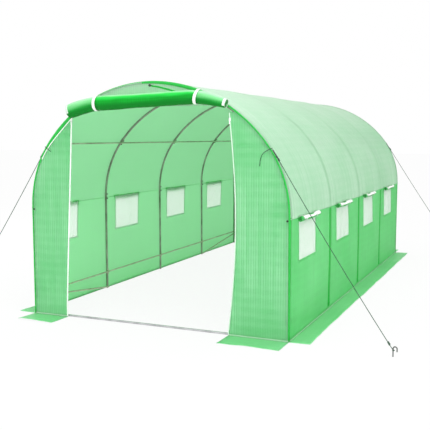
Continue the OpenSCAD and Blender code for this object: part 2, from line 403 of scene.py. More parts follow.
def mixed(tree, share, first, second):
    """Mix of two shaders, with this share of the second."""
    made = add(tree, "MixShader", Fac=share)
    tree.links.new(first.outputs[0], made.inputs[1])
    tree.links.new(second.outputs[0], made.inputs[2])
    return made.outputs[0]


def woven_film(name, colour, deep, thread, glow, through, hoop_shade=None, painted_tilt_light=(), shine=0.35, lines=0.55):
    """Woven film. colour to deep is its uneven tone, thread its grid lines, glow the tint of
    light that comes through, and through the share of it. hoop_shade is the tone of the painted
    shade along each hoop line of the roof. painted_tilt_light gives painted light and shade,
    tones for faces that tilt up or down: where each starts, where it is full, its share and its
    colour. lines is the share of the streaks."""
    colour, deep, thread = (paint(*tone) for tone in (colour, deep, thread))
    material, tree = blank_material(name)
    cloth = add(tree, "TexCoord").outputs["UV"]
    cloud = mottle(tree, cloth, 1.6, 5.0, 0.6)
    tapes = add(tree, "TexWave", {"bands_direction": "X"}, Vector=cloth, Scale=15.7, Distortion=0.6,
                Detail=2.0, Detail_Scale=3.0).outputs["Fac"]
    drawn = add(tree, "Mapping", Vector=cloth, Scale=(38.0, 0.7, 1.0)).outputs["Vector"]
    streaks = mottle(tree, drawn, 1.0, 3.0, 0.65)
    bands = add(tree, "TexWave", {"bands_direction": "Y"}, Vector=cloth, Scale=4.2, Distortion=1.5,
                Detail=2.0).outputs["Fac"]
    grid = add(tree, "TexBrick", {"offset": 0.0}, Vector=cloth, Scale=100.0, Mortar_Size=0.1,
               Mortar_Smooth=0.6, Brick_Width=1.1, Row_Height=1.1).outputs["Fac"]
    weave = add(tree, "TexBrick", {"offset": 0.5}, Vector=cloth, Scale=100.0, Mortar_Size=0.04,
                Mortar_Smooth=1.0, Brick_Width=0.4, Row_Height=0.2).outputs["Fac"]
    tone = blend_colours(tree, set_range(tree, cloud, 0.3, 0.7), colour, deep)
    tone = blend_colours(tree, set_range(tree, tapes, 0.25, 0.8, 0.0, 0.75), tone, deep)
    tone = blend_colours(tree, set_range(tree, bands, 0.3, 0.9, 0.0, 0.18), tone, colour)
    tone = blend_colours(tree, set_range(tree, streaks, 0.42, 0.68, 0.0, lines), tone, deep)
    tone = blend_colours(tree, set_range(tree, grid, 0.0, 1.0, 0.0, 0.4), tone, thread)
    # Painted shade: a darker band along each hoop line, where the hoop's shadow falls on the roof.
    if hoop_shade:
        along = add(tree, "SeparateXYZ", Vector=cloth).outputs["X"]
        from_hoop = work_out(tree, "PINGPONG", along, bay / 2)
        hoop_shade_share = set_range(tree, from_hoop, *HOOP_SHADE_WIDE, 0.85, 0.0)
        tone = blend_colours(tree, hoop_shade_share, tone, paint(*hoop_shade))
    # Painted light and shade: faces that tilt up or down get their own tones, by their direction alone.
    if painted_tilt_light:
        facing = add(tree, "NewGeometry").outputs["Normal"]
        tilt = add(tree, "SeparateXYZ", Vector=facing).outputs["Z"]
    for start, full, share, shade in painted_tilt_light:
        tone = blend_colours(tree, set_range(tree, tilt, start, full, 0.0, share), tone, paint(*shade))
    relief = work_out(tree, "MULTIPLY_ADD", grid, 1.5, weave)
    film = add(tree, "BsdfPrincipled", Base_Color=tone, Specular_IOR_Level=shine,
               Roughness=set_range(tree, cloud, 0.25, 0.75, 0.36, 0.52),
               Normal=raised(tree, relief, 0.25, 0.0006))
    show(tree, mixed(tree, through, film, add(tree, "BsdfTranslucent", Color=(*glow, 1.0))))
    return material


def bay_share(y):
    """How far a place lies between its two hoops: 0 at a hoop, 1 midway."""
    edges = np.array(hoop_places)
    step = np.clip(np.searchsorted(edges, y) - 1, 0, len(edges) - 2)
    part = np.clip((y - edges[step]) / (edges[step + 1] - edges[step]), 0, 1)
    return np.sin(np.pi * part)


# Painted light and shade on the roof's outer face: a pale colour for sheen and sky light, a paler tone on
# faces that tilt up, and painted shade along the hoop lines.
roof_outside = woven_film("roof_outside", (244, 246, 245), (172, 209, 183), (240, 243, 241),
                          (0.89, 0.94, 0.9), 0.46, hoop_shade=(172, 211, 181),
                          painted_tilt_light=[(0.7, 0.98, 0.6, (250, 252, 250))], lines=1.0)
roof_inside = woven_film("roof_inside", *PALE_GREEN, (0.58, 1.0, 0.68), 0.72)
wall_inside = woven_film("wall_inside", *PALE_GREEN, (0.65, 1.0, 0.75), 0.74)
roof_run = np.concatenate([[-EAVE_LAP, -EAVE_LAP / 2], np.linspace(0, arch_len, 97),
                           [arch_len + EAVE_LAP / 2, arch_len + EAVE_LAP]])
run_grid, y_grid = np.meshgrid(roof_run[::-1], np.linspace(-half_l, half_l, 145))
arch_x, arch_z, out_x, out_z = hoop_line(run_grid)
flat_points = np.stack([run_grid, y_grid, np.zeros_like(run_grid)], axis=2)
climb = np.minimum(run_grid, arch_len - run_grid)
midway = bay_share(y_grid)
hold = np.clip(climb / ROOF_HOLD, 0, 1) ** 0.7
ripples = cloth_noise(flat_points, (1.2, 3.1, 1), 3.0) * 0.0016
ripples += cloth_noise(flat_points, (5.0, 1.4, 1), 8.0) * 0.0012
frill = 0.004 + 0.003 * cloth_noise(flat_points, (1, 16.0, 1), 12.0)
roof_out = np.where(climb < EAVE_EDGE, EAVE_OVER, -BELOW_LINE) + frill * np.clip(-climb / EAVE_LAP, 0, 1)
roof_out += hold * (ripples * midway - ROOF_DIP * midway ** 0.7)
roof_grid = np.stack([arch_x + out_x * roof_out, y_grid, arch_z + out_z * roof_out], axis=2)
roof_cover = thin_sheet("roof_cover", roof_grid, np.stack([y_grid, run_grid], axis=2),
                        [roof_outside, roof_inside],
                        ["left_roof_haunch", "left_roof_crown", "right_roof_crown", "right_roof_haunch"])


# The side walls: the same film in a deeper green, sewn to the roof at the eave and hanging
# straight down. Each bay has a window cut in it, bound with a narrow folded tape. Over each
# inner hoop lies an upright darker green strip, painted shade for the hoop leg seen through
# the sheet.
SIDES = {-1: "left", 1: "right"}
WALL_SEED = {-1: 21.0, 1: 34.0}
WALL_BELLY = 0.012
WALL_FOLD = 0.006
WALL_GATHER = 0.003
WALL_IN = 0.0008
WALL_FOOT = 0.002
GATHER_FROM = 0.05
# Strips of painted shade over the inner hoop legs: wider on the right, set back on the left.
SHADE_STRIP_WIDE = {-1: 0.036, 1: 0.068}
SHADE_STRIP_BACK = {-1: 0.019, 1: 0.0}
SHADE_STRIP_THICK = 0.0012
SHADE_STRIP_SHORT = 0.03
SHADE_STRIP_SWAY = 0.004
NET_LAP = 0.012
# Darker green for painted shade: the strips over the hoop legs and the fold on the front strip.
painted_shade_green = woven_film("painted_shade_green", (36, 200, 74), (10, 168, 48), (48, 204, 84), (0.3, 1.0, 0.4), 0.4)
wall_outside = woven_film("wall_outside", (117, 238, 143), (40, 184, 75), (130, 234, 151),
                          (0.8, 1.0, 0.84), 0.52)
net_low, net_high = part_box("right_window_nets")
window_low, window_high = net_low.z + NET_LAP, net_high.z - NET_LAP
window_tall = window_high - window_low
window_mid = (window_low + window_high) / 2
window_half = (net_high.y - net_low.y - 2 * NET_LAP - 3 * bay) / 2
window_ahead = -(net_high.y + net_low.y) / 2
window_places = [-half_l + bay * (k + 0.5) - window_ahead for k in range(4)]
wall_y = []
for number, place in enumerate(window_places):
    bay_start = -half_l + bay * number
    wall_y += [*np.linspace(bay_start, place - window_half, 9)[:-1],
               *np.linspace(place - window_half, place + window_half, 15)[:-1],
               *np.linspace(place + window_half, bay_start + bay, 15)[:-1]]
wall_y = np.array(wall_y + [half_l])
wall_z = np.concatenate([np.linspace(WALL_FOOT, window_low, 19)[:-1],
                         np.linspace(window_low, window_high, 11)[:-1],
                         np.linspace(window_high, eave_z - EAVE_LAP * 0.92, 4)])


def wall_out(y, z, side):
    """How far a wall stands out from its plane: it bellies a little in each bay."""
    points = np.stack([y, z, np.zeros_like(y)], axis=2)
    free = np.sin(np.pi * np.clip(z / eave_z, 0, 1)) ** 0.8
    folds = cloth_noise(points, (4.5, 1.1, 1), WALL_SEED[side]) * WALL_FOLD
    gather = cloth_noise(points, (11.0, 0.8, 1), WALL_SEED[side] + 5) * WALL_GATHER
    gather *= np.clip(1 - z / eave_z, 0, 1) * np.clip(z / GATHER_FROM, 0, 1)
    return (WALL_BELLY * bay_share(y) + folds) * free + gather - WALL_IN


def wall_strip(shape, side, y, z, out, wide_way, wide, thick):
    """Strip on a side wall along places y and z, so far out from the sheet."""
    y, z = np.broadcast_arrays(np.atleast_2d(y), np.atleast_2d(z))
    x = side * (half_w + wall_out(y, z, side) + out)
    ribbon(shape, np.stack([x, y, z], axis=2)[0], wide_way, wide, thick)


whole_cells = np.ones((len(wall_y) - 1, len(wall_z) - 1), bool)
mid_y, mid_z = (wall_y[1:] + wall_y[:-1]) / 2, (wall_z[1:] + wall_z[:-1]) / 2
for place in window_places:
    in_window = np.ix_(np.abs(mid_y - place) < window_half, np.abs(mid_z - window_mid) < window_tall / 2)
    whole_cells[in_window] = False
z_grid, y_grid = np.meshgrid(wall_z, wall_y)
for side, side_name in SIDES.items():
    x_grid = side * (half_w + wall_out(y_grid, z_grid, side))
    grid = np.stack([x_grid, y_grid, z_grid], axis=2)[:, ::side]
    wall = thin_sheet(f"{side_name}_wall_sheet", grid, grid[:, :, 1:].copy(), [wall_outside, wall_inside],
                      [f"{side_name}_wall"], whole_cells[:, ::side])
    shape = bmesh.new()
    # Painted shade: a dark upright strip over each inner hoop leg.
    for hoop_y in hoop_places[1:4]:
        z = np.linspace(SHADE_STRIP_SHORT, eave_z - SHADE_STRIP_SHORT, 24)
        y = hoop_y + SHADE_STRIP_BACK[side] + SHADE_STRIP_SWAY * np.sin(5 * z + hoop_y)
        wall_strip(shape, side, y, z, SHADE_STRIP_THICK, ALONG, SHADE_STRIP_WIDE[side], SHADE_STRIP_THICK)
    piece_from(f"{side_name}_hoop_shade_strips", shape, [painted_shade_green], smooth=True)


# The end panels: flat pieces of the same film beside the doorway at both ends, sewn under
# the roof hem. They hang loose, so they show soft upright folds. The rear edges at the
# door are straight; of the front ones the left leans and the right is slack.
ENDS = {-1: "front", 1: "rear"}
LEFT_LEAN = 0.09
RIGHT_DRAW = 0.06
FOLD_DEEP = 0.006
HELD_FLAT = 0.045
HELD_EASE = 0.1
FOOT_EASE = 0.08
SEWN_IN = 0.003
TOP_IN = 0.004
FACE_OUT = 0.0012
FOOT_CLEAR = 0.003
door_half = -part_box("front_left_panel")[1].x
header_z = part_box("front_header")[0].z
end_outside = woven_film("end_outside", (190, 230, 202), (74, 173, 103), (192, 232, 203),
                         (0.74, 1.0, 0.8), 0.48)


def door_edge(z, end, side):
    """Half the doorway's width at a height. At the front the left edge leans outwards at
    its foot, and the right one sags into the doorway at its foot and its top."""
    up = np.clip(np.asarray(z, float) / header_z, 0, 1)
    if end > 0:
        return door_half + 0 * up
    return door_half + (LEFT_LEAN * (1 - up) if side < 0 else RIGHT_DRAW * (np.sin(np.pi * up) - 1))


def end_grid(end, x, z, seed):
    """Points of a hanging sheet on an end face; end is -1 at the front and 1 at the rear."""
    points = np.stack([x, z, np.zeros_like(x)], axis=2)
    clear = np.clip((arch_half_width(z) - np.abs(x) - HELD_FLAT) / HELD_EASE, 0, 1)
    clear *= np.clip(z / FOOT_EASE, 0, 1)
    folds = 1 + cloth_noise(points, (9.0, 0.9, 1), seed)
    folds += 0.5 * cloth_noise(points, (3.0, 2.0, 1), seed + 4)
    out = FACE_OUT + FOLD_DEEP * np.clip(folds, 0, 2.4) * clear
    return np.stack([x, end * (half_l + out), z], axis=2)


def panel_seed(end, side):
    """Number that sets the folds of an end panel."""
    return 40.0 + 7 * end + 3 * side


panel_top = crown_z + math.sqrt((crown_r - TOP_IN) ** 2 - door_half ** 2) - TOP_IN
panel_z = np.linspace(FOOT_CLEAR, panel_top, 90)
share, z_grid = np.meshgrid(np.linspace(0, 1, 25), panel_z, indexing="ij")
for end, end_name in ENDS.items():
    for side, side_name in SIDES.items():
        inner = door_edge(z_grid, end, side)
        outer = np.maximum(arch_half_width(z_grid, SEWN_IN), inner + 0.001)
        x_grid = side * (inner + (outer - inner) * share)
        grid = end_grid(end, x_grid, z_grid, panel_seed(end, side))
        if end * side > 0:
            grid = grid[::-1]
        name = f"{end_name}_{side_name}_panel"
        panel = thin_sheet(name + "_sheet", grid, grid[:, :, ::2].copy(), [end_outside, wall_inside],
                           [name])


# The strip over the doorway and the closed rear door: the same film, hung from the hem.
# The rear door reaches from zip to zip and from the sill to the crown. A darker green
# strip runs across the front strip from the end of the ridge tube: painted shade along a fold.
HEADER_SHORT = 0.002
FOLD_START = (0.012, 0.004)
FOLD_REACH = 0.23
FOLD_FALL = 0.055
FOLD_WIDE = 0.013
FOLD_THICK = 0.0014
FOLD_OUT = 0.002
REAR_SEED = 61.0
header_pale = woven_film("header_pale", (207, 225, 211), (170, 209, 180), (214, 229, 217),
                         (0.75, 0.93, 0.8), 0.45)


def crown_edge(x):
    """Height of an end sheet's upper edge under the crown."""
    return crown_z + np.sqrt((crown_r - SEWN_IN) ** 2 - x ** 2)


header_half = math.sqrt((crown_r - SEWN_IN) ** 2 - (header_z - crown_z) ** 2) - HEADER_SHORT
x_line = np.linspace(-header_half, header_half, 73)
x_grid, share = np.meshgrid(x_line, np.linspace(0, 1, 11), indexing="ij")
z_grid = header_z + (crown_edge(x_grid) - header_z) * share
grid = np.stack([x_grid, np.full_like(x_grid, -half_l - FACE_OUT), z_grid], axis=2)
header = thin_sheet("front_header_sheet", grid, grid[:, :, ::2].copy(), [header_pale, wall_inside],
                    ["front_header"])

plug_z = centre_of("ridge_purlin").z
share = np.linspace(0, 1, 15)
fold_line = np.stack([FOLD_START[0] + FOLD_REACH * share, np.full_like(share, -half_l - FOLD_OUT),
                      plug_z - FOLD_START[1] - FOLD_FALL * share ** 1.3], axis=1)
# Painted shade along the fold, laid on the front strip as a dark strip.
shape = bmesh.new()
ribbon(shape, fold_line, UP, FOLD_WIDE, FOLD_THICK)
piece_from("header_fold_shade", shape, [painted_shade_green], smooth=True)

across, share = np.meshgrid(np.linspace(-1, 1, 73), np.linspace(0, 1, 70), indexing="ij")
door_top = crown_edge(across * door_half)
z_grid = FOOT_CLEAR + (door_top - FOOT_CLEAR) * share
x_grid = across * np.minimum(door_half, np.maximum(arch_half_width(z_grid, SEWN_IN), door_half - 0.02))
grid = end_grid(1, x_grid, z_grid, REAR_SEED)[::-1]
rear_door = thin_sheet("rear_door_sheet", grid, grid[:, :, ::2].copy(), [end_outside, wall_inside],
                       ["rear_door"])


# The roof hem: the edge of the roof and wall sheets folded round each end hoop on to the
# end face, of uneven width. White seam tape sews it down over the left haunch. On the left
# half of the front crown the fold has the header's paler tone, apart from its edge.
HEM_WIDE = 0.014
HEM_BACK = 0.03
HEM_THICK = 0.0012
HEM_CLEAR = 0.004
HEM_WAVE = 0.0006
HEM_SWELLS = [(0.02, 0.78, 0.24), (0.01, 2.05, 0.3), (-0.006, 1.36, 0.22), (-0.005, 2.85, 0.4)]
FOOT_NARROWER = 0.008
SEAM_WIDE = 0.007
SEAM_THICK = 0.0016
SEAM_OUT = 0.005
SEWN_FROM, SEWN_TO = 0.42, 1.15
PALER_FROM = 0.06
PALER_DEEP = 0.2
EDGE_KEPT = 0.0038
PALER_PART, ON_ROOF = 2, 3
hem_green = woven_film("hem_green", (48, 208, 84), (22, 178, 58), (74, 212, 104), (0.3, 0.95, 0.4), 0.22)


def sewing_tape(name, clean, soiled):
    """Woven tape with ribs across it, a little soiled in places."""
    material, tree = blank_material(name)
    place = add(tree, "TexCoord").outputs["Object"]
    ribs = add(tree, "TexWave", {"bands_direction": "DIAGONAL"}, Vector=place, Scale=90.0).outputs["Fac"]
    dirt = set_range(tree, mottle(tree, place, 14.0, 4.0), 0.4, 0.75)
    tone = blend_colours(tree, dirt, paint(*clean), paint(*soiled))
    tape = add(tree, "BsdfPrincipled", Base_Color=tone, Roughness=0.75,
               Normal=raised(tree, ribs, 0.3, 0.0005))
    show(tree, tape.outputs["BSDF"])
    return material


def swell(run, place, reach):
    """1 at a place along a run, falling off to 0 on both sides of it."""
    return np.exp(-((run - place) / reach) ** 2)


white_tape = sewing_tape("white_tape", (246, 248, 245), (226, 232, 224))
run = np.concatenate([np.linspace(-eave_z + HEM_CLEAR, 0, 25)[:-1], np.linspace(0, arch_len, 97),
                      np.linspace(arch_len, arch_len + eave_z - HEM_CLEAR, 25)[1:]])
arch_x, arch_z, out_x, out_z = hoop_line(run)
foot = np.clip((run - arch_len) / eave_z, 0, 1)
hem_wide = HEM_WIDE - FOOT_NARROWER * foot
for wider, place, reach in HEM_SWELLS:
    hem_wide += wider * swell(run, place, reach)
hem_section = [(-hem_wide, 0.0042), (-hem_wide * 0.7, 0.0046), (-hem_wide * 0.4, 0.0048),
               (-hem_wide * 0.25, 0.0046), (-0.0005, 0.0032), (0.0020, 0.0008), (0.0030, -0.006),
               (0.0026, -HEM_BACK * (1 - 0.6 * foot))]
wavy = cloth_noise(np.stack([run, run * 0, run * 0], axis=1), 14.0, 71.0) * HEM_WAVE
hem_uv = np.stack(np.meshgrid(np.linspace(0, HEM_WIDE + HEM_BACK, len(hem_section)), run), axis=2)
sewn = (run > SEWN_FROM) & (run < SEWN_TO)
seam_x, seam_z, seam_out_x, seam_out_z = (v[sewn] for v in hoop_line(run, hem_wide + SEAM_WIDE * 0.3))
for end, end_name in ENDS.items():
    grid = np.stack([np.stack([arch_x + out_x * (rise + wavy), end * (half_l + reach + wavy),
                               arch_z + out_z * (rise + wavy)], axis=1)
                     for rise, reach in hem_section], axis=1)
    if end > 0:
        grid = grid[:, ::-1]
    hem = thin_sheet(f"{end_name}_hem", grid, hem_uv, [hem_green, roof_inside, header_pale, roof_outside],
                     thick=HEM_THICK)
    for face in hem.data.polygons:
        x, y, z = face.center
        outside = face.material_index == 0
        # The left half of the front crown gets the header's paler tone.
        on_paler_part = end < 0 and x < -PALER_FROM and z > ridge_z - PALER_DEEP
        if outside and z > eave_z and abs(y) < half_l:
            face.material_index = ON_ROOF
        elif outside and on_paler_part and crown_r - math.hypot(x, z - crown_z) > EDGE_KEPT:
            face.material_index = PALER_PART
    shape = bmesh.new()
    ribbon(shape, np.stack([seam_x, np.full_like(seam_x, end * (half_l + SEAM_OUT)), seam_z], axis=1),
           np.stack([seam_out_x, seam_out_x * 0, seam_out_z], axis=1), SEAM_WIDE, SEAM_THICK)
    piece_from(f"{end_name}_seam", shape, [white_tape])


# The zips: white tape sewn along the free edge of each panel, coil teeth, slider and pull.
# At the front they are open, so only half of each zip shows, and the right tape is folded
# back and shaded. The rear ones are closed.
TAPE_WIDE = 0.011
TAPE_FOLDED = 0.007
TAPE_THICK = 0.0014
TAPE_LAP = 0.002
TAPE_OUT = 0.0018
TAPE_FOOT = 0.006
TAPE_ABOVE = 0.03
TOOTH_PITCH = 0.006
TOOTH_THICK = 0.003
TOOTH_REACH = (-0.002, 0.004)
TOOTH_OUT = 0.001
TEETH_UNDER_TOP = 0.01
SLIDER_WIDE = 0.014
SLIDER_THICK = 0.006
SLIDER_OUT = 0.004
SLIDER_RISES = (-0.012, -0.006, 0.006, 0.012)
OPEN_UNDER_TOP = 0.02
CLOSED_AT = 0.06
PULL_WIDE = 0.008
PULL_THICK = 0.002
PULL_OUT = 0.0085
PULL_RISES = (0.004, -0.004, -0.02, -0.036)
zip_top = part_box("front_zips")[1].z
shaded_tape = sewing_tape("shaded_tape", (214, 233, 217), (196, 222, 201))
for end, end_name in ENDS.items():
    shape = bmesh.new()
    for side in SIDES:
        folded = int(end < 0 < side)
        tape = TAPE_FOLDED if folded else TAPE_WIDE
        z = np.linspace(TAPE_FOOT, zip_top + TAPE_ABOVE, 60)
        x = side * (door_edge(z, end, side) + tape / 2 - TAPE_LAP)
        y = end_grid(end, x[None, :], z[None, :], panel_seed(end, side))[0, :, 1] + end * TAPE_OUT
        ribbon(shape, np.stack([x, y, z], axis=1), ACROSS, tape, TAPE_THICK, slot=folded)
        for rise in np.arange(2 * TOOTH_PITCH, zip_top - TEETH_UNDER_TOP, TOOTH_PITCH):
            edge = float(np.interp(rise, z, x)) - side * tape / 2
            face_y = float(np.interp(rise, z, y)) + end * TOOTH_OUT
            tooth = [(edge + side * reach, face_y, rise) for reach in TOOTH_REACH]
            ribbon(shape, tooth, UP, TOOTH_PITCH * 0.55, TOOTH_THICK, slot=folded)
        rise = zip_top - OPEN_UNDER_TOP if end < 0 else CLOSED_AT
        edge, face_y = float(np.interp(rise, z, x)), float(np.interp(rise, z, y))
        slider = [(edge, face_y + end * SLIDER_OUT, rise + step) for step in SLIDER_RISES]
        ribbon(shape, slider, ACROSS, SLIDER_WIDE, SLIDER_THICK)
        pull = [(edge, face_y + end * PULL_OUT, rise + step) for step in PULL_RISES]
        ribbon(shape, pull, ACROSS, PULL_WIDE, PULL_THICK)
    piece_from(f"{end_name}_zip_tapes", shape, [white_tape, shaded_tape],
               [f"{end_name}_zips"])


# The front door, rolled up: a long sheet of film wound from the bottom into a loose roll
# under the crown. It is fuller and lower at its left tie, its left end sags and its right
# end is tucked in. White zip tape edges it, so it shows as a pale rim on each end.
ROLL_R = 0.058
ROLL_PITCH = 0.0072
ROLL_TURNS = 6
ROLL_LEAD = 0.03
RIM_WIDE = 0.016
RIM_FROM = 0.72
RIM, PAINTED_LIT_END = 2, 3
ROLL_SLACK = 0.002
ROLL_SEED = 81.0
PUCKER = 0.055
PINCH = 0.10
PINCH_WIDE = 0.03
WEB_HALF = 0.014
LEFT_FULL, RIGHT_FULL, END_FULL = 1.18, 1.06, 0.7
LEFT_LOW = 0.010
RIGHT_HIGH = 0.024
LEFT_SAG = 0.02
RIGHT_TUCK = 0.04
roll_low, roll_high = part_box("door_roll")
roll_half = roll_high.x
roll_y = (roll_low.y + roll_high.y) / 2
roll_z = roll_high.z - ROLL_R
roll_drop = roll_high.z - roll_low.z - 2 * ROLL_R
tie_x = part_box("door_ties")[1].x - WEB_HALF
wound_r = ROLL_R - ROLL_SLACK
# Painted light and shade on the roll: faces that tilt up are painted lighter, the top nearly white, and
# faces that tilt down darker; the ends past the ties get a paler copy of the film with more painted light.
roll_glow = (0.2, 0.85, 0.3)
underside_painted_shade = (0.05, -0.45, 0.9, (6, 124, 34))
middle_painted_light = [(0.2, 0.6, 0.9, (40, 214, 78)), (0.66, 0.95, 0.85, (176, 240, 188)), underside_painted_shade]
ends_painted_light = [(-0.25, 0.6, 0.95, (136, 222, 150)), (0.55, 0.95, 0.9, (190, 240, 200)), underside_painted_shade]
roll_green = woven_film("roll_green", (10, 172, 46), (2, 140, 32), (30, 180, 62), roll_glow, 0.06,
                        painted_tilt_light=middle_painted_light, shine=0.12)
roll_ends_painted_light = woven_film("roll_ends_painted_light", (40, 178, 70), (22, 150, 50), (60, 186, 88), roll_glow, 0.06,
                       painted_tilt_light=ends_painted_light, shine=0.12)
roll_rim = sewing_tape("roll_rim", (226, 237, 228), (200, 218, 204))


def wound(path, back, radius, girth, pitch, turns, sides, lead, pinches, seed):
    """Points of a rolled sheet along a path. It comes down from the back and winds inwards.
    girth is how full it is at each point of the path, as a share of its radius; lead is how
    far it runs up above the roll, and pinches are the places of ties along the path."""
    gone = np.concatenate([[0], np.cumsum(np.linalg.norm(np.diff(path, axis=0), axis=1))])
    turn = np.linspace(0, turns, turns * sides + 1)
    angle, level = np.meshgrid(-2 * np.pi * turn, gone)
    size = (radius - pitch * turn) * girth[:, None]
    round_about = np.stack([level, np.cos(angle) * 0.16, np.sin(angle) * 0.16], axis=2)
    slanting = np.stack([level + angle * 0.02, angle * 0, angle * 0], axis=2)
    uneven = cloth_noise(round_about, (7.0, 12.0, 12.0), seed)
    uneven += 0.5 * cloth_noise(slanting, (19.0, 1, 1), seed + 9)
    size *= 1 - PUCKER * np.clip(0.6 + uneven, 0, 2)
    for place in pinches:
        size *= 1 - PINCH * swell(level, place, PINCH_WIDE)
    size = np.maximum(size, pitch * 0.6)[:, :, None]
    back = np.asarray(back, float)
    lean = np.cross(back, np.gradient(path, axis=0))
    lean /= np.linalg.norm(lean, axis=1, keepdims=True)
    lean *= np.sign(lean[:, 2:])
    lean, middle = lean[:, None, :], path[:, None, :]
    grid = middle + size * np.cos(angle)[:, :, None] * back + size * np.sin(angle)[:, :, None] * lean
    rise = np.linspace(lead, 0, 6)[:-1]
    top = middle + radius * 0.97 * girth[:, None, None] * back + rise[None, :, None] * lean
    cloth = np.concatenate([-rise, 2 * np.pi * np.cumsum(np.full(len(turn), 1 / sides)) * radius * 0.6])
    cloth_uv = np.stack(np.broadcast_arrays(gone[:, None], cloth[None, :]), axis=2)
    return np.concatenate([top, grid], axis=1), cloth_uv


roll_x = np.linspace(-roll_half, roll_half - RIGHT_TUCK, 73)
sunk = np.maximum(np.abs(roll_x) - tie_x, 0) / (roll_half - tie_x)
end_drop = roll_drop + np.where(roll_x < 0, LEFT_SAG, 0.0)
lift = np.interp(roll_x, (-tie_x, tie_x, roll_half), (-LEFT_LOW, RIGHT_HIGH, 0.0))
girth = np.interp(roll_x, (-tie_x, tie_x, roll_half - RIGHT_TUCK), (LEFT_FULL, RIGHT_FULL, END_FULL))
roll_path = np.stack([roll_x, roll_y - (girth - 1) * ROLL_R,
                      roll_z + lift - end_drop * sunk ** 1.25], axis=1)


def roll_at(x):
    """Place of the roll's middle in y and z, and how full it is."""
    return (float(np.interp(x, roll_x, line)) for line in (roll_path[:, 1], roll_path[:, 2], girth))


grid, cloth_uv = wound(roll_path, ALONG, wound_r, girth, ROLL_PITCH, ROLL_TURNS, 30, ROLL_LEAD,
                       (roll_half - tie_x, roll_half + tie_x), ROLL_SEED)
door_roll = thin_sheet("door_roll_sheet", grid, cloth_uv, [roll_green, roll_green, roll_rim, roll_ends_painted_light],
                       ["door_roll"])
for face in door_roll.data.polygons:
    x, y, z = face.center
    middle_y, middle_z, full = roll_at(x)
    from_end = min(x - roll_x[0], roll_x[-1] - x)
    if from_end < RIM_WIDE and math.hypot(y - middle_y, z - middle_z) > RIM_FROM * ROLL_R * full:
        face.material_index = RIM
    # Faces past the ties get the paler copy of the film, with more painted light.
    elif abs(x) > tie_x:
        face.material_index = PAINTED_LIT_END


# The door ties: white webbing sewn under the hem, taken round the roll and back up behind
# it, with the end laid double over the front. The right one is drawn aslant.
WEB_WIDE = 0.024
WEB_THICK = 0.002
DRAWN_IN = 0.93
ROUND_ROLL = (64, 352, 37)
LAID_DOUBLE = (150, 215, 12)
BEHIND_ROLL = [(0.0055, 0.012), (0.0045, 0.03)]
TIE_LEAN = {-1: 0.004, 1: 0.016}
shape = bmesh.new()
for side, lean in TIE_LEAN.items():
    middle_y, middle_z, full = roll_at(side * tie_x)
    reach = ROLL_R * DRAWN_IN * full + 0.0005
    line = arc_points(middle_y, middle_z, reach, *ROUND_ROLL)
    line += [(-half_l - out, middle_z + rise) for out, rise in BEHIND_ROLL]
    reach += WEB_THICK
    front = arc_points(middle_y, middle_z, reach, *LAID_DOUBLE)
    for part, wide in ((line, WEB_WIDE), (front, WEB_WIDE * 0.98)):
        places = [(side * tie_x + lean * (z - middle_z) / reach, y, z) for y, z in part]
        ribbon(shape, places, ACROSS, wide, WEB_THICK)
piece_from("door_tie_webbing", shape, [white_tape], ["door_ties"])


# The window nets: fine white insect net, woven from flat plastic threads, sewn behind each
# opening so that it laps the wall all round. The left nets are a little clearer than the
# right ones and pass more light.
THREAD_PITCH = 0.0028
THREAD_WIDE = 0.0018
THREAD_THICK = 0.0003
UPRIGHT_IN, LEVEL_IN = 0.0030, 0.0034
NET_SHORT = 0.001
NET_CLEAR = {-1: 0.78, 1: 0.64}
for side, side_name in SIDES.items():
    net_white, tree = blank_material(f"{side_name}_net_thread")
    dirt = mottle(tree, add(tree, "TexCoord").outputs["Object"], 22.0, 4.0)
    dirt = set_range(tree, dirt, 0.35, 0.75)
    tone = blend_colours(tree, dirt, paint(252, 253, 252), paint(238, 246, 239))
    thread = add(tree, "BsdfPrincipled", Base_Color=tone, Roughness=0.5)
    lit = add(tree, "BsdfTranslucent", Color=(0.98, 1.0, 0.985, 1.0))
    show(tree, mixed(tree, NET_CLEAR[side], thread, lit))
    shape = bmesh.new()
    reach_y, reach_z = window_half + NET_LAP - NET_SHORT, window_tall / 2 + NET_LAP - NET_SHORT
    for place in window_places:
        for shift in np.arange(-reach_y, reach_y, THREAD_PITCH):
            z = np.linspace(window_mid - reach_z, window_mid + reach_z, 5)
            wall_strip(shape, side, place + shift, z, -UPRIGHT_IN, ALONG, THREAD_WIDE, THREAD_THICK)
        for shift in np.arange(-reach_z, reach_z, THREAD_PITCH):
            y = np.linspace(place - reach_y, place + reach_y, 5)
            wall_strip(shape, side, y, window_mid + shift, -LEVEL_IN, UP, THREAD_WIDE, THREAD_THICK)
    nets = piece_from(f"{side_name}_net_threads", shape, [net_white],
                      [f"{side_name}_window_nets"])


# Window bindings and window flaps: a folded tape round each opening, and the flap that
# covers it rolled up above, held by two narrow straps. The faces on top of each roll are
# white over most of its length.
BIND_WIDE = 0.009
BIND_THICK = 0.0016
BIND_LAP = 0.003
LEVEL_OUT, UPRIGHT_OUT = 0.0006, 0.0004
STRAP_WIDE = 0.014
STRAP_THICK = 0.0014
STRAP_OFF = 0.15
STRAP_TOP = 0.022
STRAP_SLACK = 0.003
WHITE_FROM, WHITE_TO = -0.78, 0.95
WHITE_TOP = 2
FLAP_SAG, FLAP_SWAY = 0.004, 0.002
FLAP_THICK = 0.0012
FLAP_PITCH = 0.0042
FLAP_TURNS = 4
FLAP_LEAD = 0.022
flap_low, flap_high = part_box("right_window_rolls")
flap_r = (flap_high.z - flap_low.z) / 2
flap_half = (flap_high.y - flap_low.y - 3 * bay) / 2
flap_x = flap_high.x - flap_r
flap_z = (flap_high.z + flap_low.z) / 2
flap_green = woven_film("flap_green", (104, 214, 130), (66, 196, 98), (140, 228, 160),
                        (0.5, 1.0, 0.6), 0.5)
